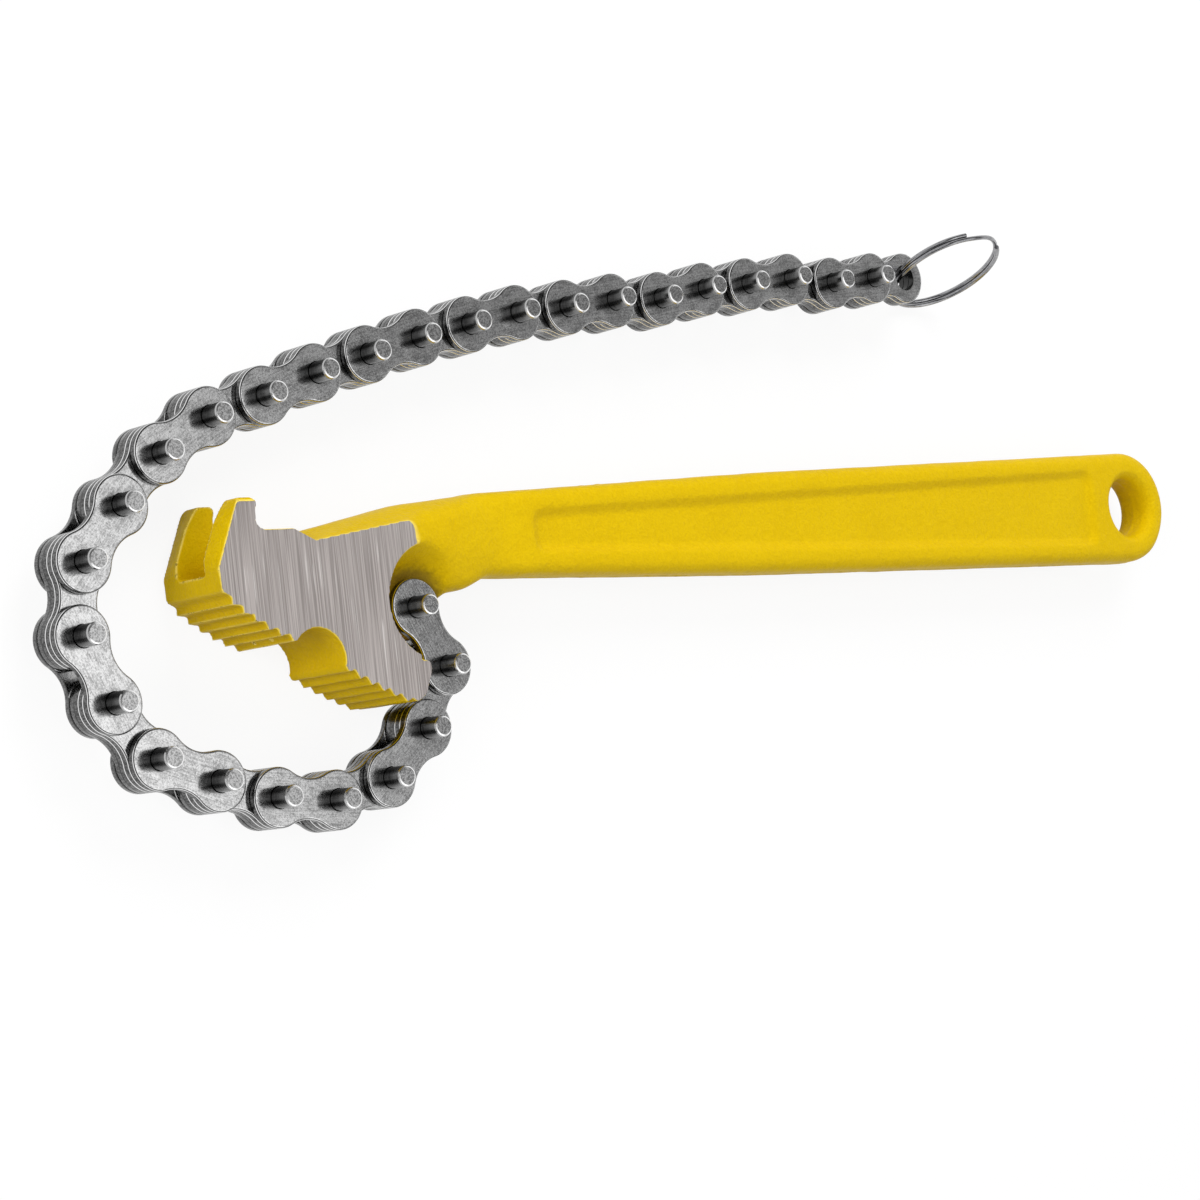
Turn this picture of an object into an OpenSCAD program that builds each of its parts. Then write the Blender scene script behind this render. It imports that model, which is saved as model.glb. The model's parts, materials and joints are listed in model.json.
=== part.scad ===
// Chain pipe wrench, lying flat: +X runs along the handle from the head to the hang hole, +Z is up.
// The origin is the middle of the hang hole. The head is laid out from the anchor pin of the chain.

/* [Handle] */
// Distance along the handle from the anchor pin to the hang hole
reach = 239.2; // [200:0.2:320]
// Distance from the anchor pin up to the axis of the handle
anchor_drop = 14.9; // [14.6:0.1:17]
// Thickness of the forged handle
handle_t = 11; // [9:0.5:13]
// Radius of the rounded end of the handle
end_r = 14.4; // [13.4:0.1:16]
// Half height of the handle at its middle
mid_r = 11.8; // [10:0.1:13]
// Half height of the handle at its neck
neck_r = 9.1; // [8:0.1:9.5]
// Distance of the middle section from the anchor pin
mid_x = 105; // [80:1:140]
// Distance of the neck section from the anchor pin
neck_x = 20; // [18:0.5:24]
// How far the neck section sits below the axis of the handle
neck_sag = 0.1; // [0:0.1:1]
// Rounding of the handle's long edges
edge_r = 3; // [1.5:0.1:4]
// Diameter of the hang hole
hang_d = 15.2; // [10:0.1:16]
// Rounding of the hang hole's lips
hang_lip = 3; // [1:0.1:3.6]

/* [Side panels] */
// Depth of the sunk panel on each side of the handle
panel_depth = 1.2; // [0.4:0.1:2]
// Width of the raised rim left round the panel
panel_rim = 4.5; // [3:0.1:6]
// Distance from the anchor pin to the panel's head end
panel_start = 33.5; // [30:0.5:60]
// Distance from the panel's other end to the hang hole
panel_end = 14.7; // [14:0.1:40]
// Radius of the panel's corners
panel_r = 3.2; // [2.4:0.1:3.6]
// Slope of the panel's walls, as extra width at the handle's face
panel_slope = 2; // [0.2:0.1:2.2]

/* [Head] */
// Thickness of the head across its ground flanks
head_t = 20.2; // [18:0.2:26]
// Depth that grinding leaves between the flanks and the forged skin beside them
grind = 0.2; // [0.1:0.05:0.4]
// Distance from the anchor pin to the head's far end
head_l = 52.4; // [50:0.2:58]
// Height of the horn tips above the anchor pin
horn_h = 23.6; // [21:0.2:26]
// Width of a horn at its tip
horn_w = 4; // [3:0.1:5]
// Rounding of the horn tips
horn_r = 1; // [0.5:0.1:1.4]
// How far a horn's tip hooks over the pin seat
horn_hook = 0.5; // [0:0.1:1]
// Bevel across the outer top edge of each horn
horn_bevel = 0.9; // [0.4:0.1:1.4]
// Height of the pin seat behind the horns, above the anchor pin
seat_h = 17; // [16:0.1:18]
// Distance from the anchor pin to the horns' hook face
seat_l = 42.3; // [41:0.1:43]
// Length of the flat pin seat
seat_w = 9; // [7:0.1:10]
// Fillet between the seat and the hook face
seat_r = 2.1; // [1.5:0.1:2.6]
// Width of the slot between the two horns
slot_w = 9.8; // [9.4:0.1:12]
// Height of the slot's floor above the anchor pin
slot_floor = 8.6; // [7:0.1:10]
// Distance from the anchor pin to the middle of the slot's run-out
slot_l = 43.5; // [42:0.1:45]
// Radius of the slot's milled run-out
slot_r = 11; // [9:0.1:11.5]
// Radius of the recess round the anchor pin, where it meets the head's flanks
recess_r = 11; // [10:0.1:11.4]
// Radius of the recess at its floor
recess_foot_r = 9.1; // [8.8:0.1:9.6]
// How far the floor of the recess sits away from the neck
recess_lean = 1.7; // [1:0.1:1.9]
// How far the recess opens out towards the neck
recess_flare = 2; // [0.5:0.1:2.4]
// Direction of the neck from the anchor pin
recess_aim = 30; // [10:5:40]
// Radius of the anchor tongue
tongue_r = 6.6; // [5:0.1:7]

/* [Jaw] */
// Radius of the round notch between the two toothed pads
notch_r = 6.5; // [5.5:0.1:7]
// Number of teeth on each pad
teeth = 6; // [5:1:6]
// Spacing of the teeth
tooth_pitch = 3.1; // [2.9:0.05:3.2]
// Height of the teeth
tooth_h = 1.2; // [0.8:0.05:1.6]
// Lean of the teeth, as the share of their spacing from root to tip; the two pads lean opposite ways
tooth_lean = 0.35; // [0.2:0.05:0.5]

/* [Chain] */
// Distance between the pins of a link
pitch = 14.45; // [13.8:0.05:17]
// Width of a link plate across its round eyes
lobe_d = 12.4; // [10.5:0.1:12.8]
// Width of a link plate at its waist
waist_w = 8.4; // [6.5:0.1:9]
// Radius of the hollow sides of the waist
waist_r = 9; // [8.6:0.1:12]
// Thickness of every link plate
plate_t = 1.6; // [1.2:0.05:1.8]
// Number of plates in an inner link
inner_plates_n = 3; // [3:1:3]
// Gap between the plates of an inner link
plate_gap = 0.08; // [0.04:0.01:0.2]
// Side play between an inner link and the outer plates
side_play = 0.2; // [0.15:0.01:0.4]
// Diameter of the pins
pin_d = 4.5; // [4:0.1:5]
// How far each pin stands out of the outer plates
pin_out = 5.2; // [3:0.1:5.4]
// Bevel on the pin ends
pin_bevel = 0.45; // [0.2:0.05:0.8]
// Radial clearance of the pins in the inner plates
pin_fit = 0.05; // [0.02:0.01:0.1]
// Distance from the last pin to the free eye of the end link
end_pitch = 13.2; // [12:0.1:15]
// Diameter of the free eye
eye_d = 6.2; // [6.2:0.1:7]

/* [Split ring] */
// Mean radius of the split ring
ring_r = 14.2; // [13.5:0.1:18]
// Diameter of the ring's wire
wire_d = 1.1; // [0.8:0.05:1.1]
// Gap between the two turns
coil_gap = 0.05; // [0.02:0.01:0.2]
// How far the ring's wire stands off the middle of the eye
ring_slip = 0.5; // [0.4:0.05:0.6]
// Direction of the ring's middle from the eye, about Z
ring_turn = 8; // [-20:1:30]
// How far the ring stands up from the flat
ring_rise = 18; // [10:1:20]
// Roll of the ring about its line through the eye
ring_roll = -26; // [-26:1:10]
// Where the wire's ends sit, turned along the ring from the side away from the eye
ring_spin = 60; // [-90:1:90]
// Angle from the middle of the step to each end of the wire
ring_open = 28; // [26:1:60]

/* [Hidden] */
LINKS = 14;
// Direction of each link as the chain lies, in degrees, from the anchor pin to the free eye.
LAY = [
    -62, -119, -139, -167, -187, -198, -202, -233, -247, -278, -312, -316, -330, -343,
    -341, -344, -345, -348, -349, -354, -353, -357, -350, -354, -354, -362, -354, -357
];

YELLOW = [0.93, 0.77, 0.04];
STEEL = [0.62, 0.62, 0.63];
DARK_STEEL = [0.42, 0.42, 0.43];
WIRE = [0.78, 0.78, 0.8];
ROUND = 96;
SOFT = 48;
EDGE_STEPS = 5;
ARC_STEPS = 8;
CORNER = 32;
WIRE_SIDES = 12;
WIRE_STEPS = 110;
STEP_HALF = 25;
CUT = 1;

anchor = [-reach, -anchor_drop];
inner_t = inner_plates_n * plate_t + (inner_plates_n - 1) * plate_gap;
outer_gap = inner_t + 2 * side_play;
chain_w = outer_gap + 2 * plate_t;
pin_l = chain_w + 2 * pin_out;
tongue_t = inner_t;
bore_d = pin_d + 2 * pin_fit;
bridge = 0.2 * lobe_d + 0.3 * waist_w;
coil_rise = (wire_d + coil_gap) / 2;

// Pin k of the chain, counted from 0 at the anchor.
function step(k) = pitch * [cos(LAY[k]), sin(LAY[k])];
function pin_at(k) = k == 0 ? anchor : pin_at(k - 1) + step(k - 1);
eye_at = pin_at(2 * LINKS - 1) + end_pitch * [cos(LAY[2 * LINKS - 1]), sin(LAY[2 * LINKS - 1])];

// Points along an arc, from angle a to angle b.
function arc(mid, r, a, b, n = ARC_STEPS) =
    [for (i = [0:n]) let (t = a + (b - a) * i / n) mid + r * [cos(t), sin(t)]];

// Row of points along a toothed pad: the roots, each turned a little from the one before.
function root(start, angle, turn, k) =
    k == 0 ? start
    : root(start, angle, turn, k - 1)
        + tooth_pitch * [cos(angle + turn * (k - 1)), sin(angle + turn * (k - 1))];
function tooth_tip(start, angle, turn, lean, k) =
    let (a = angle + turn * k)
    root(start, angle, turn, k) + lean * tooth_pitch * [cos(a), sin(a)] + tooth_h * [sin(a), -cos(a)];
function pad(start, angle, turn, lean) = concat(
    [for (k = [0:teeth - 1]) each [root(start, angle, turn, k), tooth_tip(start, angle, turn, lean, k)]],
    [root(start, angle, turn, teeth)]
);

// Points of the head's side view, in anchor coordinates.
horn_l = seat_l + horn_w;
horn_back = [-horn_l - 0.5, horn_h - horn_r - 0.5];
end_top = [-head_l, 9.4];
end_low = [-head_l + 0.4, 4.9];
notch_mid = [-30.3, -9.8];
nose = [-3.7, -13.1];
nose_r = 1.7;
nose_foot = [[-6.9, -19.9], [-5.6, -19.5], [-4.1, -18.3]];
recess_side = -4.4;
dip = [-28.2, seat_h - 2.6];
beak = [-3.9, seat_h + 0.8];
beak_front = [-2.8, seat_h - 0.5];
beak_root = [-2.3, recess_r + 0.8];

// Toothed pads: the left one next to the horns, the right one towards the nose.
left_pad = pad([-head_l + 2.4, 3.8], -39, 3.6, tooth_lean);
right_pad = pad(notch_mid + [notch_r - 0.7, -0.9], -31.5, 1.8, 1 - tooth_lean);

// Rounded sections that the forged neck is pulled over, and the web below it.
shoulder_r = 5.5;
shoulder = [-26, seat_h - shoulder_r];
crest = [0, 12.9];
heel_r = 5;
heel = [13, recess_r - 3];
web_low = [13, 4.4];

module at_anchor() {
    translate(anchor) children();
}

// Round disc with rounded edges: one section of the forged bar.
module bar_section(r, t) {
    e = min(edge_r, r * 0.45, t * 0.45);
    arc = [for (i = [0:EDGE_STEPS]) let (a = 90 * i / EDGE_STEPS) [r - e + e * cos(a), t / 2 - e + e * sin(a)]];
    half = concat([[r, 0]], arc, [[0, t / 2]]);
    lower = [for (i = [len(half) - 1:-1:1]) [half[i][0], -half[i][1]]];
    rotate_extrude($fn = SOFT) polygon(concat(half, lower));
}

module neck_section(inset = 0) {
    translate([-reach + neck_x, -neck_sag]) bar_section(neck_r - inset, handle_t - 2 * inset);
}

// Handle bar: three sections pulled together, ending round at the hang hole.
module bar() {
    hull() {
        neck_section();
        translate([-reach + mid_x, 0]) bar_section(mid_r, handle_t);
        bar_section(end_r, handle_t);
    }
}

// Forged swell that carries the bar into the thicker head, just below the ground flanks.
module neck() {
    flank = [dip, beak, beak_front, beak_root, [recess_side, recess_r - CUT], [dip[0], shoulder[1]]];
    hull() {
        at_anchor() linear_extrude(head_t - 2 * grind, center = true) offset(delta = -grind) polygon(flank);
        at_anchor() translate(shoulder) bar_section(shoulder_r, handle_t);
        at_anchor() translate(crest) bar_section(neck_r, handle_t);
        at_anchor() translate(heel) bar_section(heel_r, handle_t);
        neck_section(grind);
    }
}

// Side view of the head, with its horns, pin seat, toothed pads and notch, in anchor coordinates.
module head_outline() {
    tip_y = horn_h - horn_r;
    difference() {
        polygon(concat(
            arc([-seat_l + seat_r, seat_h + seat_r], seat_r, 270, 180),
            arc([-seat_l + horn_hook - horn_r, tip_y], horn_r, 0, 90),
            arc([-horn_l + horn_r, tip_y], horn_r, 90, 160),
            [horn_back, end_top, end_low],
            left_pad,
            [notch_mid],
            right_pad,
            nose_foot,
            arc(nose, nose_r, -20, 120),
            [[recess_side, nose[1] + nose_r], [recess_side, recess_r], beak_root, beak_front, beak, dip],
            [[-seat_l + seat_w, seat_h]]
        ));
        translate(notch_mid) circle(notch_r, $fn = ROUND);
    }
}

// Slot that splits the horns: open to the left and to the top, with a milled round run-out.
module slot() {
    side = -head_l - CUT;
    top = horn_h + CUT;
    linear_extrude(slot_w, center = true) polygon(concat(
        [[side, top], [side, slot_floor]],
        arc([-slot_l, slot_floor + slot_r], slot_r, 270, 360),
        [[-slot_l + slot_r, top]]
    ));
}

// Cuts that bevel the outer top edges of the horns.
module horn_bevels() {
    side = head_t / 2;
    for (flank = [0, 1]) mirror([0, 0, flank])
        translate([-head_l, 0]) rotate([90, 0, 90]) linear_extrude(head_l - seat_l + seat_w) polygon([
            [horn_h - horn_bevel - CUT, side + CUT], [horn_h + CUT, side - horn_bevel - CUT],
            [horn_h + CUT, side + CUT]
        ]);
}

module head() {
    at_anchor() difference() {
        linear_extrude(head_t, center = true) head_outline();
        slot();
        horn_bevels();
    }
}

// Thin tongue round the anchor pin, between the head and the neck.
module tongue() {
    side = -recess_r - CUT;
    at_anchor() linear_extrude(tongue_t, center = true) {
        circle(tongue_r, $fn = ROUND);
        polygon([
            [side, 0], [side, recess_r], crest, heel, web_low,
            [tongue_r - CUT, 0], [0, -tongue_r + CUT]
        ]);
    }
}

// Dished recess on both sides of the tongue that the first outer plates swing in. Its wall is steep at the
// head and slopes up to the neck.
module anchor_recess() {
    depth = head_t / 2 - tongue_t / 2 + CUT;
    away = [cos(recess_aim), sin(recess_aim)];
    for (side = [0, 1]) mirror([0, 0, side]) translate([0, 0, tongue_t / 2]) hull() {
        translate(-recess_lean * away) linear_extrude(CUT / 2) circle(recess_foot_r, $fn = ROUND);
        translate(recess_flare * away) translate([0, 0, depth])
            linear_extrude(CUT / 2) circle(recess_r + recess_flare, $fn = ROUND);
    }
}

// Hang hole with rounded lips: the tool that cuts it, turned about the hole's axis.
module hang_hole() {
    r = hang_d / 2;
    flat = handle_t / 2 - hang_lip + grind;
    top = handle_t / 2 + CUT;
    lip = arc([r + hang_lip, flat], hang_lip, 180, 95);
    rotate_extrude($fn = ROUND) polygon(concat(
        [[0, -top], [lip[ARC_STEPS][0], -top]],
        [for (i = [ARC_STEPS:-1:0]) [lip[i][0], -lip[i][1]]],
        lip,
        [[lip[ARC_STEPS][0], top], [0, top]]
    ));
}

// Sunk panel with sloping walls, cut into one face.
module panel() {
    grow = (mid_r - neck_r) / (mid_x - neck_x);
    edge = panel_rim + panel_r;
    x0 = -reach + panel_start + panel_r;
    h0 = neck_r + grow * (panel_start - neck_x) - edge;
    for (side = [0, 1]) mirror([0, 0, side]) hull() for (y = [-1, 1]) {
        translate([x0, y * h0]) panel_corner();
        translate([-panel_end - panel_r, y * (end_r - edge)]) panel_corner();
    }
}

module panel_corner() {
    tall = panel_depth + CUT;
    foot = panel_r - panel_slope;
    translate([0, 0, handle_t / 2 - panel_depth])
        cylinder(h = tall, r1 = foot, r2 = foot + panel_slope * tall / panel_depth, $fn = CORNER);
}

// Forged handle and head in one piece.
module handle() {
    color(YELLOW) difference() {
        union() {
            difference() {
                union() {
                    bar();
                    neck();
                    head();
                }
                at_anchor() anchor_recess();
            }
            tongue();
        }
        at_anchor() cylinder(h = 2 * head_t, d = bore_d, center = true, $fn = ROUND);
        hang_hole();
        panel();
    }
}

// Figure-eight plate lying along X, with its left eye at the origin.
module plate_outline(length) {
    difference() {
        union() {
            circle(d = lobe_d, $fn = ROUND);
            translate([length, 0]) circle(d = lobe_d, $fn = ROUND);
            translate([0, -bridge]) square([length, 2 * bridge]);
        }
        for (y = [-1, 1]) translate([length / 2, y * (waist_w / 2 + waist_r)]) circle(waist_r, $fn = ROUND);
    }
}

module plate(length, left_d, right_d) {
    linear_extrude(plate_t) difference() {
        plate_outline(length);
        circle(d = left_d, $fn = ROUND);
        translate([length, 0]) circle(d = right_d, $fn = ROUND);
    }
}

// Place a link that starts at pin k of the chain.
module at_link(k) {
    translate(pin_at(k)) rotate(LAY[k]) children();
}

// Two outer plates of link k, pressed on the pins.
module outer_plates(k) {
    color(STEEL) at_link(2 * (k - 1)) for (side = [0, 1]) mirror([0, 0, side])
        translate([0, 0, outer_gap / 2]) plate(pitch, pin_d, pin_d);
}

// Two long pins of outer link k, with bevelled ends.
module pins(k) {
    r = pin_d / 2;
    h = pin_l / 2;
    color(DARK_STEEL) at_link(2 * (k - 1)) for (x = [0, pitch]) translate([x, 0])
        rotate_extrude($fn = ROUND) polygon([
            [0, -h], [r - pin_bevel, -h], [r, -h + pin_bevel],
            [r, h - pin_bevel], [r - pin_bevel, h], [0, h]
        ]);
}

module plate_stack(length, left_d, right_d) {
    for (i = [0:inner_plates_n - 1])
        translate([0, 0, -inner_t / 2 + i * (plate_t + plate_gap)]) plate(length, left_d, right_d);
}

// Stack of inner plates of link k, free to turn on the pins.
module inner_plates(k) {
    color(STEEL) at_link(2 * k - 1) plate_stack(pitch, bore_d, bore_d);
}

// End link with the free eye that carries the split ring.
module end_plates() {
    color(STEEL) at_link(2 * LINKS - 1) plate_stack(end_pitch, bore_d, eye_d);
}

// Split ring: two turns of wire with a short step from one to the other.
module split_ring() {
    from = ring_open;
    sweep = 720 - 2 * ring_open;
    rise = function (a)
        let (s = max(0, min(1, (a - 360 + STEP_HALF) / (2 * STEP_HALF))))
        coil_rise * (2 * s * s * (3 - 2 * s) - 1);
    points = [
        for (i = [0:WIRE_STEPS], j = [0:WIRE_SIDES - 1])
            let (a = from + sweep * i / WIRE_STEPS, b = 360 * j / WIRE_SIDES)
            let (rad = ring_r + wire_d / 2 * cos(b))
            [rad * cos(a), rad * sin(a), rise(a) + wire_d / 2 * sin(b)]
    ];
    walls = [
        for (i = [0:WIRE_STEPS - 1], j = [0:WIRE_SIDES - 1])
            let (a = i * WIRE_SIDES + j, b = i * WIRE_SIDES + (j + 1) % WIRE_SIDES)
            [a, b, b + WIRE_SIDES, a + WIRE_SIDES]
    ];
    caps = [
        [for (j = [WIRE_SIDES - 1:-1:0]) j],
        [for (j = [0:WIRE_SIDES - 1]) WIRE_STEPS * WIRE_SIDES + j]
    ];
    color(WIRE) translate(eye_at) rotate(ring_turn) rotate([0, -ring_rise, 0]) rotate([ring_roll, 0, 0])
        translate([ring_r - ring_slip, 0, 0]) rotate([90, 0, 0]) rotate(ring_spin)
            polyhedron(points, concat(walls, caps));
}

handle();
for (k = [1:LINKS]) {
    outer_plates(k);
    pins(k);
}
for (k = [1:LINKS - 1]) {
    inner_plates(k);
}
end_plates();
split_ring();
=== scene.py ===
import json
import math

import bpy
from mathutils import Matrix, Vector, noise
from mathutils.geometry import tessellate_polygon


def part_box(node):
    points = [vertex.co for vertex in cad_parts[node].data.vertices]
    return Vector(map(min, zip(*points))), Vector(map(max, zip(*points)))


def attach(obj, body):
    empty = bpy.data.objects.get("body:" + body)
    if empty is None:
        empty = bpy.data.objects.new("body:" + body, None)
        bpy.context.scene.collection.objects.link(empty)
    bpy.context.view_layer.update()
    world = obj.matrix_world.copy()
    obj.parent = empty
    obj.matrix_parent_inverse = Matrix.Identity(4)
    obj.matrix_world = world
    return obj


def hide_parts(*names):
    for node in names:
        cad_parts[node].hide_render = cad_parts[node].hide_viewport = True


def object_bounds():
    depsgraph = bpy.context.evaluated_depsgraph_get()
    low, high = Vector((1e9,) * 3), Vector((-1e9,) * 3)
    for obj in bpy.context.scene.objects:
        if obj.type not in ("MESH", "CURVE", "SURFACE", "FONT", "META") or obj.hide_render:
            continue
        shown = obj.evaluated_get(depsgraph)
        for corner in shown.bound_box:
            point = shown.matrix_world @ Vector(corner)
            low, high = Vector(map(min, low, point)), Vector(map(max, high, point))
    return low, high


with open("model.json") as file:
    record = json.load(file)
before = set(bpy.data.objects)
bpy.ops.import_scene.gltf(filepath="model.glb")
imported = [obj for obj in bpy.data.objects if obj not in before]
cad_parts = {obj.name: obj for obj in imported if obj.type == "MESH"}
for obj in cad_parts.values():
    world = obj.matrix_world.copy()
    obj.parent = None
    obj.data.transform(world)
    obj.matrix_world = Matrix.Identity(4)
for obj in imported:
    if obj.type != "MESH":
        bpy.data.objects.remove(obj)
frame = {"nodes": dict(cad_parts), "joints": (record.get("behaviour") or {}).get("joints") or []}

cad_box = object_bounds()

# Forged handle and head
# One steel drop forging from the hang hole to the toothed jaw, sprayed with yellow enamel. The two flat
# flanks of the head are ground back to bare steel after painting, which leaves a thin painted edge; its pale
# colour is a painted highlight.
MM = 0.001
skin_spacing = 0.36 * MM
neck_from = -0.262
neck_to = -0.175
neck_fade = 0.012
neck_passes = 140
flash_band = 0.9 * MM
flash_height = 0.3 * MM
forged_wave = 0.09 * MM
wave_length = 7 * MM
ragged_length = 2.5 * MM
horn_crown = 1.45 * MM
horn_foot = (9 * MM, 12 * MM)
horn_top = (19 * MM, 23.5 * MM)
horn_front = (43.5 * MM, 47 * MM)
flank_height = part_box("handle")[1].z
anchor = Vector(frame["joints"][0]["pos_m"])
panel_from = anchor.x + 33.5 * MM
panel_passes = 14


def frozen(piece):
    """Put the piece's modifiers into its mesh."""
    bpy.context.view_layer.update()
    shaped = piece.evaluated_get(bpy.context.evaluated_depsgraph_get())
    mesh = bpy.data.meshes.new_from_object(shaped)
    piece.modifiers.clear()
    piece.data = mesh
    mesh.name = piece.name


def placed(name, mesh, matrix=Matrix.Identity(4)):
    """Object with this mesh, put in the scene."""
    piece = bpy.data.objects.new(name, mesh)
    bpy.context.scene.collection.objects.link(piece)
    piece.matrix_world = matrix
    return piece


def ramp(value, low, high):
    """0 below low, 1 above high, and a straight rise between."""
    return min(1, max(0, (value - low) / (high - low)))


def smoothing(piece, name, passes, group=""):
    """Smooth the skin, and where a vertex group is named, only there."""
    made = piece.modifiers.new(name, "SMOOTH")
    made.factor = 0.5
    made.iterations = passes
    made.vertex_group = group


handle = placed("forged_handle", frame["nodes"]["handle"].data.copy())
even = handle.modifiers.new("even_skin", "REMESH")
even.mode = "VOXEL"
even.voxel_size = skin_spacing
even.use_smooth_shade = True
smoothing(handle, "broken_edges", 1)
frozen(handle)

# The neck flows into the head without an edge, so its skin is smoothed far more than the rest. The walls of
# the sunk panels are only softened.
neck = handle.vertex_groups.new(name="neck")
panels = handle.vertex_groups.new(name="panels")
for vertex in handle.data.vertices:
    spot = vertex.co
    along = ramp(spot.x, neck_from, neck_from + neck_fade)
    along *= 1 - ramp(spot.x, neck_to - neck_fade, neck_to)
    below_flank = 1 - ramp(abs(spot.z), flank_height - 1.2 * MM, flank_height - 0.4 * MM)
    above_jaw = ramp(spot.y - anchor.y, -6 * MM, -2 * MM)
    on_panel = ramp(spot.x, panel_from - 6 * MM, panel_from - 2 * MM)
    upright = 1 - ramp(abs(vertex.normal.z), 0.3, 0.6)
    share = along * below_flank * above_jaw * (1 - on_panel * (1 - upright))
    if share > 0:
        neck.add([vertex.index], share, "REPLACE")
    if on_panel > 0:
        panels.add([vertex.index], on_panel, "REPLACE")
smoothing(handle, "soft_panels", panel_passes, "panels")
smoothing(handle, "flowing_neck", neck_passes, "neck")
frozen(handle)

# The dies' parting line runs round the bar at half thickness, and the hammered skin is never quite flat.
# The fronts of the horns are crowned across the slot.
skin = [(vertex.co.copy(), vertex.normal.copy()) for vertex in handle.data.vertices]
moved = []
for spot, out in skin:
    if abs(spot.z) < flank_height - 0.3 * MM:
        wave = forged_wave * noise.noise(spot / wave_length)
        side = max(0, 1 - abs(out.z) * 2)
        ridge = max(0, 1 - abs(spot.z) / flash_band) ** 2 * side
        ragged = max(0, 0.5 + 1.1 * noise.noise(spot / ragged_length))
        on_bar = ramp(spot.x, neck_from, neck_to)
        spot = spot + out * (wave + flash_height * ridge * ragged * on_bar)
        level = spot.y - anchor.y
        horn = ramp(level, *horn_foot) * (1 - ramp(level, *horn_top))
        front = ramp(anchor.x - spot.x, *horn_front)
        spot.x -= horn_crown * horn * front * (1 - (spot.z / flank_height) ** 2)
    moved.extend(spot)
handle.data.vertices.foreach_set("co", moved)
handle.data.update()


class Wire:
    """A socket of a node tree. Its operators add Math nodes, and node() adds any other node."""

    def __init__(self, tree, socket=None):
        self.tree = tree
        self.socket = socket

    def node(self, kind, settings=None, sockets=None, out=0):
        made = self.tree.nodes.new(kind)
        for name, setting in (settings or {}).items():
            setattr(made, name, setting)
        for key, value in (sockets or {}).items():
            if isinstance(value, Wire):
                self.tree.links.new(value.socket, made.inputs[key])
            else:
                made.inputs[key].default_value = value
        return Wire(self.tree, made.outputs[out] if made.outputs else None)

    def output(self, name):
        return Wire(self.tree, self.socket.node.outputs[name])

    def math(self, operation, *values):
        return self.node("ShaderNodeMath", {"operation": operation}, dict(enumerate(values)))

    def __add__(self, other):
        return self.math("ADD", self, other)

    def __radd__(self, other):
        return self.math("ADD", other, self)

    def __sub__(self, other):
        return self.math("SUBTRACT", self, other)

    def __rsub__(self, other):
        return self.math("SUBTRACT", other, self)

    def __mul__(self, other):
        return self.math("MULTIPLY", self, other)

    def __rmul__(self, other):
        return self.math("MULTIPLY", other, self)

    def __truediv__(self, other):
        return self.math("DIVIDE", self, other)

    def __abs__(self):
        return self.math("ABSOLUTE", self)

    def rise(self, low, high):
        """0 below low, 1 above high, and a smooth step between."""
        limits = {"Value": self, "From Min": low, "From Max": high}
        return self.node("ShaderNodeMapRange", {"interpolation_type": "SMOOTHSTEP"}, limits)

    def between(self, start, end):
        """1 from start to end, each a pair of values over which it comes up or goes down, and 0 outside."""
        return self.rise(*start) * (1 - self.rise(*end))


def bare_finish(name):
    """New material with an empty node tree."""
    finish = bpy.data.materials.new(name)
    finish.use_nodes = True
    finish.node_tree.nodes.clear()
    return finish, Wire(finish.node_tree)


def tinted(mask, first, second):
    """Colour that goes from first to second as the mask goes from 0 to 1."""
    return mask.node("ShaderNodeMix", {"data_type": "RGBA"}, {0: mask, 6: first, 7: second}, out=2)


def stretched(place, x, y, z):
    """Place scaled along each axis, so that a pattern runs long where the factor is small."""
    return place.node("ShaderNodeVectorMath", {"operation": "MULTIPLY"}, {0: place, 1: (x, y, z)})


def grain(place, size, detail=2.0, rough=0.5):
    """Noise whose lumps are about size metres across."""
    values = {"Vector": place, "Scale": 1 / size, "Detail": detail, "Roughness": rough}
    return place.node("ShaderNodeTexNoise", None, values)


def away(along, across):
    """Distance from the middle."""
    return along.math("SQRT", along * along + across * across)


def surfaced(wire, base, roughness, metallic, height, strength, distance, specular=0.5):
    """Finish the material with one shader and a bump."""
    bump = {"Height": height, "Strength": strength, "Distance": distance}
    values = {
        "Base Color": base,
        "Roughness": roughness,
        "Metallic": metallic,
        "Specular IOR Level": specular,
        "Normal": wire.node("ShaderNodeBump", None, bump),
    }
    shader = wire.node("ShaderNodeBsdfPrincipled", None, values)
    wire.node("ShaderNodeOutputMaterial", None, {"Surface": shader})


enamel_deep = (0.625, 0.41, 0.001, 1)
enamel_pale = (0.685, 0.465, 0.002, 1)
shade_and_dirt_brown = (0.4, 0.22, 0.001, 1)
grease_and_shade_brown = (0.16, 0.1, 0.01, 1)
corner_shade = (0.4, 0.23, 0.001, 1)
edge_shine = (0.95, 0.78, 0.2, 1)
rim_highlight_yellow = (0.95, 0.76, 0.16, 1)
bare_chip = (0.2, 0.12, 0.01, 1)
flash_shade = (0.3, 0.18, 0.001, 1)
ground_deep = (0.32, 0.288, 0.275, 1)
ground_pale = (0.53, 0.483, 0.465, 1)
ground_scratch = (0.85, 0.82, 0.8, 1)
enamel, wire = bare_finish("yellow_enamel_and_ground_steel")
place = wire.node("ShaderNodeTexCoord", out="Object")
along = wire.node("ShaderNodeSeparateXYZ", None, {0: place}, out="X")
across = abs(along.output("Z"))
peel = grain(place, 1.4 * MM, 2.0)
pits = grain(place, 0.55 * MM, 2.0)
cloud = grain(place, 12 * MM, 2.0)
ground = (across + 0.06 * MM * (peel - 0.5)).rise(flank_height - 0.09 * MM, flank_height - 0.05 * MM)
flank_rim_highlight = across.rise(flank_height - 0.5 * MM, flank_height - 0.2 * MM)
on_bar = along.rise(neck_from, neck_to)
before_hole = 1 - along.rise(-12 * MM, -10 * MM)
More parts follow.
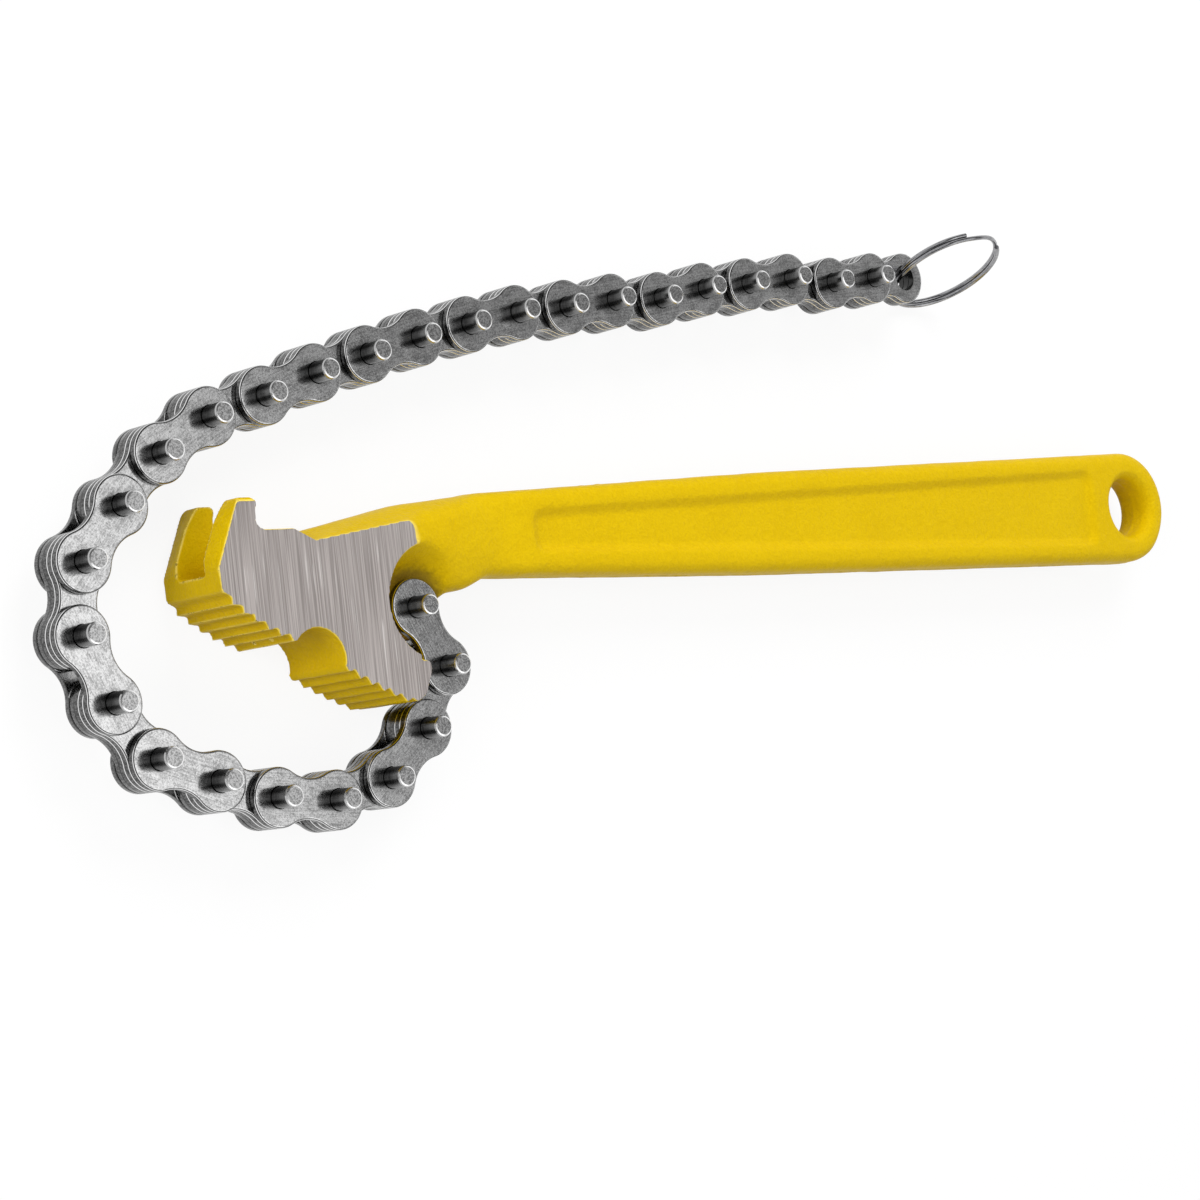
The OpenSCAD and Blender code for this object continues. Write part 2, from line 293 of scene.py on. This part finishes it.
parting = (1 - across.rise(0.3 * MM, 0.7 * MM)) * on_bar * before_hole * peel.rise(0.4, 0.55)
convexity = wire.node("ShaderNodeNewGeometry", out="Pointiness")
edge = convexity.rise(0.515, 0.56) * (1 - along.rise(neck_from - 6 * MM, neck_from))
chips = edge * (pits * 0.5 + peel * 0.5).rise(0.54, 0.58)
# Painted shade with dirt: the head turns brown where its own hollows close in (ambient occlusion), in the
# slot, recess, notch and teeth.
hidden = {"Distance": 7 * MM, "Color": (1, 1, 1, 1)}
open_air = wire.node("ShaderNodeAmbientOcclusion", {"only_local": True, "samples": 6}, hidden, out="AO")
hollow_shade_and_dirt = (1 - (open_air + 0.12 * (pits - 0.5)).rise(0.45, 0.95)) * (1 - on_bar)
# Painted shade with grease: a dark ring in the recess round the anchor pin, where the chain's end lobe sits
# and shades it.
beside = along - anchor.x
over = along.output("Y") - anchor.y
lobe_shade_and_grease = 1 - (away(beside, over) + 2 * MM * (peel - 0.5)).rise(7 * MM, 9.8 * MM)
shade = (cloud * 0.2 + peel * 0.3 + pits * 0.5).rise(0.36, 0.64)
yellow = tinted(shade, enamel_deep, enamel_pale)
yellow = tinted(hollow_shade_and_dirt * 0.75, yellow, shade_and_dirt_brown)
yellow = tinted(lobe_shade_and_grease * 0.8, yellow, grease_and_shade_brown)
# Painted shade in concave corners, and a painted highlight along convex edges, both from the skin's
# pointiness.
yellow = tinted(1 - convexity.rise(0.42, 0.49), yellow, corner_shade)
yellow = tinted(edge * 0.6, yellow, edge_shine)
# Painted highlight: a narrow band of enamel just below each ground flank is made paler, as if its edge
# caught the light.
yellow = tinted(flank_rim_highlight * 0.7, yellow, rim_highlight_yellow)
yellow = tinted(chips * 0.85, yellow, bare_chip)
yellow = tinted(parting * 0.45, yellow, flash_shade)
hair_lines = grain(stretched(place, 1, 0.012, 1), 0.26 * MM, 0.0)
fine_lines = grain(stretched(place, 1, 0.01, 1), 0.5 * MM, 0.0)
bright_lines = grain(stretched(place, 1, 0.022, 1), 0.34 * MM, 0.0).rise(0.72, 0.8)
dull = grain(stretched(place, 1, 0.3, 1), 7 * MM, 2.0)
lines = (hair_lines * 0.7 + fine_lines * 0.2 + dull * 0.1).rise(0.3, 0.7)
steel = tinted(lines, ground_deep, ground_pale)
steel = tinted(bright_lines * 0.55, steel, ground_scratch)
surfaced(
    wire,
    base=tinted(ground, yellow, steel),
    roughness=0.36 + 0.14 * pits + ground * 0.04,
    metallic=ground * 0.6,
    height=(1 - ground) * (peel * 0.5 + pits * 0.5) + ground * lines * 0.05,
    strength=0.9,
    distance=0.36 * MM,
    specular=0.05,
)
handle.data.materials.clear()
handle.data.materials.append(enamel)
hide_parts("handle")
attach(handle, "handle")

# Outer link plates
# Figure-eight plates stamped from strip steel and tumbled until the edges are round. A pair of them is
# pressed on two pins, one plate on each side of the inner stack.
lobe_r = 6.2 * MM
waist = 4.2 * MM
plate_t = 1.6 * MM
outer_gap = 5.36 * MM
eye_r = 2.3 * MM
free_eye_r = 3.1 * MM
die_roll = 0.42 * MM
burr = 0.1 * MM
flat_rim = 0.05 * MM
roll_angles = (0.5, 1.05)
arc_steps = 20
hinges = [Vector(joint["pos_m"]) for joint in frame["joints"]]
links = [joint["child"] for joint in frame["joints"]][:-1]


def arc(centre, radius, start, end, steps=arc_steps):
    """Points along an arc, with its last point left to whatever follows."""
    turns = [start + (end - start) * i / steps for i in range(steps)]
    return [Vector((centre[0] + radius * math.cos(t), centre[1] + radius * math.sin(t))) for t in turns]


def plate_outline(length, inset):
    """Two round eyes joined by hollow sides, drawn in by inset."""
    half = length / 2
    hollow = (half ** 2 + waist ** 2 - lobe_r ** 2) / (2 * (lobe_r - waist))
    lean = math.atan2(waist + hollow, half)
    turn = math.pi
    left = arc((0, 0), lobe_r - inset, lean, 2 * turn - lean, 3 * arc_steps)
    low = arc((half, -waist - hollow), hollow + inset, turn - lean, lean)
    right = arc((length, 0), lobe_r - inset, lean - turn, turn - lean, 3 * arc_steps)
    high = arc((half, waist + hollow), hollow + inset, -lean, lean - turn)
    return left + low + right + high


def add_plate(points, faces, length, radii, low, thick, up):
    """One plate with an eye at each end, and with its rolled edge on top, or below if up is False. A narrow
    flat rim inside every edge keeps the shading of the wide faces flat."""
    high_side = low + thick
    profile = [(burr + flat_rim, low), (burr, low), (0, low + burr), (0, high_side - die_roll)]
    for a in roll_angles:
        profile.append((die_roll * (1 - math.cos(a)), high_side - die_roll * (1 - math.sin(a))))
    profile += [(die_roll, high_side), (die_roll + flat_rim, high_side)]
    if not up:
        profile = [(inset, 2 * low + thick - z) for inset, z in reversed(profile)]
    rings = [[Vector((p.x, p.y, z)) for p in plate_outline(length, inset)] for inset, z in profile]
    holes = []
    for middle, radius in zip((0, length), radii):
        wall = [(radius + burr + flat_rim, low), (radius + burr, low), (radius, low + burr)]
        wall += [(r, 2 * low + thick - z) for r, z in reversed(wall)]
        circles = [arc((middle, 0), r, 0, 2 * math.pi, 2 * arc_steps) for r, z in wall]
        holes.append([[Vector((p.x, p.y, z)) for p in c] for c, (r, z) in zip(circles, wall)])
    for loops, flip in [(rings, False)] + [(hole, True) for hole in holes]:
        for below, above in zip(loops, loops[1:]):
            start = len(points)
            count = len(below)
            points += below + above
            for i in range(count):
                j = (i + 1) % count
                quad = (start + i, start + j, start + count + j, start + count + i)
                faces.append(quad[::-1] if flip else quad)
    for level, flip in ((0, True), (-1, False)):
        edges = [rings[level]] + [hole[level] for hole in holes]
        start = len(points)
        points += [p for edge in edges for p in edge]
        for triangle in tessellate_polygon(edges):
            a, b, c = [points[start + i] for i in triangle]
            upward = (b - a).cross(c - a).z > 0
            corners = [start + i for i in triangle]
            faces.append(corners[::-1] if upward == flip else corners)


def solid(name, points, faces, crease=math.radians(38)):
    """Mesh with its doubled points joined and its shading smooth, apart from edges sharper than crease."""
    mesh = bpy.data.meshes.new(name)
    mesh.from_pydata(points, [], faces)
    whole = placed(name + "_draft", mesh)
    weld = whole.modifiers.new("weld", "WELD")
    weld.merge_threshold = 0.001 * MM
    frozen(whole)
    mesh = whole.data
    bpy.data.objects.remove(whole)
    mesh.name = name
    mesh.polygons.foreach_set("use_smooth", [True] * len(mesh.polygons))
    mesh.set_sharp_from_angle(angle=crease)
    return mesh


def link_matrix(number):
    """Place of a link: on its own hinge, and pointing to the next one."""
    along = hinges[number + 1] - hinges[number]
    return Matrix.Translation(hinges[number]) @ Matrix.Rotation(math.atan2(along.y, along.x), 4, "Z")


def joined(piece, body, finish, node, lot):
    """Give a piece its finish, its own patch of it, and its place in the assembly."""
    piece.data.materials.append(finish)
    piece["lot"] = lot
    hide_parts(node)
    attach(piece, body)


def grey(level):
    """Plain grey as a colour."""
    return (level, level, level, 1)


def own_patch(place):
    """Place moved by the piece's lot, so that no two pieces have the same specks."""
    lot = place.node("ShaderNodeAttribute", {"attribute_type": "OBJECT", "attribute_name": "lot"}, out="Fac")
    patch = place.node("ShaderNodeCombineXYZ", None, {"X": lot * 0.37, "Y": lot * 0.11})
    return place.node("ShaderNodeVectorMath", {"operation": "ADD"}, {0: place, 1: patch})


def facing_up(wire):
    """1 on the flat faces of a piece, 0 on its upright sides."""
    normal = wire.node("ShaderNodeTexCoord", out="Normal")
    return abs(wire.node("ShaderNodeSeparateXYZ", None, {0: normal}, out="Z"))


plate_steel, wire = bare_finish("tumbled_plate_steel")
place = wire.node("ShaderNodeTexCoord", out="Object")
shifted = own_patch(place)
facing = facing_up(wire)
flat = facing.rise(0.88, 0.98)
specks = grain(shifted, 0.42 * MM, 4.0, 0.65)
blotch = grain(shifted, 2.4 * MM, 3.0)
scratches = grain(stretched(shifted, 0.06, 1, 1), 0.28 * MM, 2.0)
length = wire.node("ShaderNodeSeparateXYZ", None, {0: place}, out="X")
width = length.output("Y")
pitch = (hinges[1] - hinges[0]).length
from_eye = wire.math("MINIMUM", away(length, width), away(length - pitch, width))
# Painted shade: the faces are darker in a ring round each eye, where the pin stands up from the plate.
pin_foot_shade = 1 - from_eye.rise(2.3 * MM, 3.7 * MM)
in_eye = (1 - from_eye.rise(3.0 * MM, 3.3 * MM)) * (1 - flat)
dents = grain(shifted, 0.9 * MM, 4.0, 0.7).rise(0.6, 0.68)
mottle = (specks * 0.5 + blotch * 0.25 + scratches * 0.25).rise(0.38, 0.6)
face_tint = tinted(mottle, grey(0.36), grey(0.82))
face_tint = tinted(dents * 0.6, face_tint, grey(0.25))
face_tint = tinted(pin_foot_shade * 0.3, face_tint, grey(0.2))
# Painted shade on the dull cut edge, then a painted highlight and painted shade on the rolled edge.
shear = grain(stretched(shifted, 1, 1, 0.5), 0.35 * MM, 2.0)
edge_tint = tinted(shear.rise(0.35, 0.65), grey(0.06), grey(0.17))
edge_tint = tinted(facing.rise(0.3, 0.45), edge_tint, grey(0.85))
edge_tint = tinted(facing.rise(0.64, 0.72), edge_tint, grey(0.08))
# Painted shade in the bores of the eyes.
edge_tint = tinted(in_eye, edge_tint, grey(0.05))
surfaced(
    wire,
    base=tinted(flat, edge_tint, face_tint),
    roughness=0.22 - flat * (0.09 - 0.06 * specks),
    metallic=1.0,
    height=flat * (specks * 0.5 + blotch * 0.3 - dents * 0.4) + (1 - flat) * shear * 0.5,
    strength=0.12,
    distance=0.08 * MM,
)

outer_bodies = links[0::2]
for number, body in enumerate(outer_bodies):
    points, faces = [], []
    add_plate(points, faces, pitch, (eye_r, eye_r), outer_gap / 2, plate_t, True)
    add_plate(points, faces, pitch, (eye_r, eye_r), -outer_gap / 2 - plate_t, plate_t, False)
    name = "outer_plate_pair_%02d" % (number + 1)
    pair = placed(name, solid(name, points, faces), link_matrix(2 * number))
    joined(pair, body, plate_steel, "outer_plates_%d" % (number + 1), number * 2)

# Chain pins
# Lengths of drawn steel bar with bevelled ends, pressed through the outer plates. They stand out far enough
# on both sides to hook behind the horns of the head.
pin_r = 2.25 * MM
pin_half = 9.48 * MM
pin_bevel = 0.45 * MM
pin_sides = 56
pin_profile = [
    (0, -pin_half),
    (pin_r - pin_bevel, -pin_half),
    (pin_r - 0.35 * pin_bevel, -pin_half + 0.3 * pin_bevel),
    (pin_r, -pin_half + pin_bevel),
]
pin_profile += [(r, -z) for r, z in reversed(pin_profile)]


def add_turned(points, faces, profile, middle, sides):
    """Surface turned about an upright axis at middle."""
    start = len(points)
    for radius, height in profile:
        for i in range(sides):
            t = 2 * math.pi * i / sides
            points.append(middle + Vector((radius * math.cos(t), radius * math.sin(t), height)))
    for ring in range(len(profile) - 1):
        for i in range(sides):
            low = start + ring * sides
            j = (i + 1) % sides
            faces.append((low + i, low + j, low + sides + j, low + sides + i))


pin_steel, wire = bare_finish("drawn_pin_steel")
place = wire.node("ShaderNodeTexCoord", out="Object")
shifted = own_patch(place)
facing = facing_up(wire)
cut_end = facing.rise(0.35, 0.6)
specks = grain(shifted, 0.4 * MM, 4.0, 0.65)
turning = grain(stretched(shifted, 0.05, 0.05, 1), 0.16 * MM, 2.0)
marks = specks * cut_end + turning * (1 - cut_end)
# Painted shade: the pins' sides are near black, and a painted reflection makes them lighter towards the
# ends.
side_tint = tinted(turning.rise(0.3, 0.7), grey(0.04), grey(0.11))
stood_out = abs(wire.node("ShaderNodeSeparateXYZ", None, {0: place}, out="Z"))
side_tint = tinted(stood_out.rise(6 * MM, 9.2 * MM) * 0.6, side_tint, grey(0.34))
end_tint = tinted(specks.rise(0.38, 0.6), grey(0.28), grey(0.64))
# Painted highlight on the bevel round each end.
end_tint = tinted(1 - facing.rise(0.9, 0.97), end_tint, grey(0.92))
surfaced(
    wire,
    base=tinted(cut_end, side_tint, end_tint),
    roughness=0.14 + 0.14 * marks,
    metallic=1.0,
    height=marks,
    strength=0.12,
    distance=0.05 * MM,
)

for number, body in enumerate(outer_bodies):
    points, faces = [], []
    for spot in (Vector((0, 0, 0)), Vector((pitch, 0, 0))):
        add_turned(points, faces, pin_profile, spot, pin_sides)
    name = "chain_pins_%02d" % (number + 1)
    pins = placed(name, solid(name, points, faces, math.radians(20)), link_matrix(2 * number))
    joined(pins, body, pin_steel, "pins_%d" % (number + 1), number * 2 + 1)

# Inner link plates
# Stacks of the same stamped plates, loose on the pins so that the chain bends. The last stack has a wider
# free eye for the split ring.
inner_step = 1.68 * MM
inner_count = 3
inner_lot = 40
inner_low = -((inner_count - 1) * inner_step + plate_t) / 2
inner_bodies = links[1::2]
for number, body in enumerate(inner_bodies):
    last = number == len(inner_bodies) - 1
    link = 2 * number + 1
    length = (hinges[link + 1] - hinges[link]).length
    points, faces = [], []
    for layer in range(inner_count):
        radii = (eye_r, free_eye_r if last else eye_r)
        low = inner_low + layer * inner_step
        add_plate(points, faces, length, radii, low, plate_t, layer > 0)
    name = "end_plate_stack" if last else "inner_plate_stack_%02d" % (number + 1)
    stack = placed(name, solid(name, points, faces), link_matrix(link))
    node = "end_plates" if last else "inner_plates_%d" % (number + 1)
    joined(stack, body, plate_steel, node, inner_lot + number)

# Split ring
# Two turns of bright spring wire, with a short step where one turn climbs on to the other. It hangs in the
# chain's free eye.
ring_r = 14.2 * MM
wire_r = 0.55 * MM
coil_rise = 0.575 * MM
ring_slip = 0.5 * MM
ring_turn = math.radians(8)
ring_stand = math.radians(18)
ring_roll = math.radians(-26)
ring_spin = math.radians(60)
ring_open = math.radians(28)
step_half = math.radians(25)
ring_steps = 240
ring_sides = 16
ring_lot = 60
wire_deep = (0.2, 0.2, 0.21, 1)
wire_pale = (0.42, 0.42, 0.43, 1)


def coil_height(angle):
    """Height of the wire's middle, which steps from the lower turn to the upper one."""
    share = ramp(angle - 2 * math.pi, -step_half, step_half)
    return coil_rise * (2 * share * share * (3 - 2 * share) - 1)


def add_coil(points, faces):
    """Round wire wound in two turns, with flat ends."""
    sweep = 4 * math.pi - 2 * ring_open
    for i in range(ring_steps + 1):
        angle = ring_open + sweep * i / ring_steps
        outward = Vector((math.cos(angle), math.sin(angle), 0))
        middle = ring_r * outward + Vector((0, 0, coil_height(angle)))
        for j in range(ring_sides):
            t = 2 * math.pi * j / ring_sides
            points.append(middle + wire_r * (math.cos(t) * outward + Vector((0, 0, math.sin(t)))))
    for i in range(ring_steps):
        for j in range(ring_sides):
            low = i * ring_sides
            k = (j + 1) % ring_sides
            faces.append((low + j, low + k, low + ring_sides + k, low + ring_sides + j))
    faces.append(tuple(range(ring_sides))[::-1])
    faces.append(tuple(ring_steps * ring_sides + j for j in range(ring_sides)))


spring_wire, wire = bare_finish("bright_spring_wire")
place = wire.node("ShaderNodeTexCoord", out="Object")
drawn = grain(place, 0.3 * MM, 3.0)
dull = grain(place, 3 * MM, 2.0)
surfaced(
    wire,
    base=tinted((drawn * 0.5 + dull * 0.5).rise(0.3, 0.7), wire_deep, wire_pale),
    roughness=0.12 + 0.12 * drawn,
    metallic=1.0,
    height=drawn,
    strength=0.08,
    distance=0.03 * MM,
)
points, faces = [], []
add_coil(points, faces)
lie = Matrix.Translation(hinges[-1]) @ Matrix.Rotation(ring_turn, 4, "Z")
lie = lie @ Matrix.Rotation(-ring_stand, 4, "Y") @ Matrix.Rotation(ring_roll, 4, "X")
lie = lie @ Matrix.Translation((ring_r - ring_slip, 0, 0)) @ Matrix.Rotation(math.pi / 2, 4, "X")
lie = lie @ Matrix.Rotation(ring_spin, 4, "Z")
ring = placed("split_ring_wire", solid("split_ring_wire", points, faces, math.radians(60)), lie)
joined(ring, "split_ring", spring_wire, "split_ring", ring_lot)

# Floor
# Plain white sheet under the tool. The camera and the bright metal see it almost white, and it keeps a soft
# shadow where the tool lies on it.
floor_reach = 12.0
floor_level = cad_box[0][2] - 0.05 * MM
floor_glow = 0.82
mesh = bpy.data.meshes.new("floor")
square = [(floor_reach * x, floor_reach * y, 0) for x, y in ((-1, -1), (1, -1), (1, 1), (-1, 1))]
mesh.from_pydata(square, [], [(0, 1, 2, 3)])
floor = placed("floor", mesh, Matrix.Translation((0, 0, floor_level)))


def looked_at(wire):
    """1 for what the camera sees, also in metal or through glass, and 0 for what only lights the tool."""
    camera_ray = wire.node("ShaderNodeLightPath", out="Is Camera Ray")
    glossy_ray = camera_ray.output("Is Glossy Ray")
    through_ray = camera_ray.output("Is Transmission Ray")
    return wire.math("MAXIMUM", wire.math("MAXIMUM", camera_ray, glossy_ray), through_ray)


white_sheet, wire = bare_finish("white_sheet")
seen = looked_at(wire)
paper = wire.node("ShaderNodeBsdfDiffuse", None, {"Color": grey(0.6)})
glow = wire.node("ShaderNodeEmission", None, {"Color": grey(1), "Strength": 1.08})
sheet = wire.node("ShaderNodeMixShader", None, {0: seen * floor_glow, 1: paper, 2: glow})
wire.node("ShaderNodeOutputMaterial", None, {"Surface": sheet})
mesh.materials.append(white_sheet)

# Studio light
# Two soft boxes overhead, which the flat steel mirrors, in a dim room with paler walls and a white backdrop.
# Two large lamps that the metal doesn't mirror fill in the painted sides.
lamp_range = 1.2
lamp_centre = Vector((-0.18, 0, 0))
# Each lamp's direction from the tool, its watts and the length of its side.
lamps = {
    "top_lamp": ((0.15, 0.8, 0.65), 9.5, 0.7),
    "left_lamp": ((-0.9, 0.05, 0.42), 7.5, 0.7),
}
room = bpy.data.worlds.new("studio")
bpy.context.scene.world = room
room.use_nodes = True
room.node_tree.nodes.clear()
wire = Wire(room.node_tree)
towards = wire.node("ShaderNodeTexCoord", out="Generated")
x = wire.node("ShaderNodeSeparateXYZ", None, {0: towards}, out="X")
y = x.output("Y")
z = x.output("Z")
# u and v are the place on a level ceiling that a direction points to.
above = wire.math("MAXIMUM", z, 0.05)
u = x / above
v = y / above
slant = u + 0.27 * v
near_box = (1 - slant.rise(0.675, 0.76)) * u.rise(-0.3, -0.1) * v.between((-1.8, -1.5), (0.2, 0.32))
near_box = near_box * (1.14 - 0.14 * v.rise(0.05, 0.16))
far_box = u.between((-1.5, -1.3), (-0.6, -0.45)) * v.between((-0.35, -0.2), (1.1, 1.3))
box_light = (near_box + far_box * 0.9) * z.rise(0.2, 0.3)
dim = 0.06 + 0.11 * x.rise(-0.3, 0.4) + 0.12 * u.rise(0.78, 0.95)
walls = z.between((0.05, 0.2), (0.5, 0.62)) * 0.5
level = dim + walls + box_light
horizon = 1 - z.rise(0.3, 0.45)
room_grey = wire.node("ShaderNodeCombineColor", None, {0: level, 1: level, 2: level})
sky = tinted(looked_at(wire) * horizon, room_grey, grey(1))
backdrop = wire.node("ShaderNodeBackground", None, {"Color": sky, "Strength": 1.0})
wire.node("ShaderNodeOutputWorld", None, {"Surface": backdrop})

for name, (aim, watts, size) in lamps.items():
    lamp = bpy.data.lights.new(name, "AREA")
    lamp.shape = "SQUARE"
    lamp.size = size
    lamp.energy = watts
    spot = bpy.data.objects.new(name, lamp)
    bpy.context.scene.collection.objects.link(spot)
    spot.location = lamp_centre + Vector(aim).normalized() * lamp_range
    spot.rotation_euler = Vector(aim).to_track_quat("Z", "Y").to_euler()
    spot.visible_glossy = False

# Camera
# Long lens above the jaw's end of the tool, rolled so that the handle runs across the picture. Its place was
# found from the even spacing of the chain pins.
lens_pixels = 2993
picture_pixels = 1200
camera_spot = Vector((-0.6257, -0.0538, 0.4960))
camera_aim = Vector((-0.1924, -0.0162, 0.0093))
picture_up = Vector((0.0467, 0.9919, 0.1181))
camera = bpy.data.cameras.new("camera")
camera.sensor_width = 36
camera.lens = camera.sensor_width * lens_pixels / picture_pixels
camera.clip_start = 0.01
viewer = bpy.data.objects.new("camera", camera)
bpy.context.scene.collection.objects.link(viewer)
back = (camera_spot - camera_aim).normalized()
right = picture_up.cross(back).normalized()
up = back.cross(right)
viewer.matrix_world = Matrix.Translation(camera_spot) @ Matrix((right, up, back)).transposed().to_4x4()
bpy.context.scene.camera = viewer
bpy.context.scene.view_settings.view_transform = "Standard"
